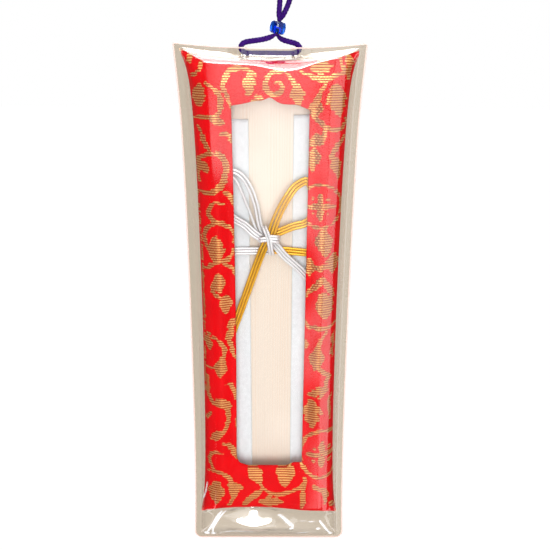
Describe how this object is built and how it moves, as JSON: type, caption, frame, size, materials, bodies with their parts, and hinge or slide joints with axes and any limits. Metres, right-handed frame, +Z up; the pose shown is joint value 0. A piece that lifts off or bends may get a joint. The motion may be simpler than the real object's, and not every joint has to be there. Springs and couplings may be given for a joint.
{
  "type": "omamori charm",
  "caption": "Clear film case with a sewn red and gold brocade cushion whose window shows a wooden slip in paper tied with a bow, hung on a braided cord with a sliding bead.",
  "frame": {"origin": "the underside of the cord loop's bight, where it hangs on a hook", "axes": "+Z up along the charm, +X to its right as seen from the front, +Y to its back; the front faces -Y"},
  "size_m": [0.0518, 0.0115, 0.2176],
  "materials": {
    "clear_film": "clear glossy soft film",
    "brocade": "red satin ground with gold scrolls woven in",
    "wadding": "soft white wadding",
    "sewing_thread": "fine twisted thread",
    "card": "matt card",
    "slip_wood": "planed pale softwood, straight grain",
    "white_paper": "soft white laid paper",
    "silver_paper_cord": "paper cord wrapped in silver foil",
    "gold_paper_cord": "paper cord wrapped in gold foil",
    "purple_cord": "round braid of shiny fibre",
    "blue_glass": "clear blue glass"
  },
  "bodies": {
    "cord": {"cord_bridle": "purple_cord", "cord_loop": "purple_cord"},
    "bead": {"bead": "blue_glass"},
    "charm": {"case_front_film": "clear_film", "case_rear_film": "clear_film", "brocade_front_panel": "brocade", "brocade_back_panel": "brocade", "padding_frame": "wadding", "seam_thread": "sewing_thread", "backing_card": "card", "wooden_slip": "slip_wood", "paper_wrap": "white_paper", "belt_silver": "silver_paper_cord", "belt_gold": "gold_paper_cord", "bow_silver": "silver_paper_cord", "bow_gold": "gold_paper_cord", "knot_wrap": "silver_paper_cord"}
  },
  "joints": [
    {"name": "bead_slide", "type": "slide", "parent": "cord", "child": "bead", "axis": [0.2079, 0, 0.9781], "range_m": [0, 0.012], "deforming": ["cord_loop"]},
    {"name": "charm_swing", "type": "hinge", "parent": "cord", "child": "charm", "pos_m": [0, 0, -0.0537], "axis": [1, 0, 0], "range_deg": [-70, 70]}
  ]
}
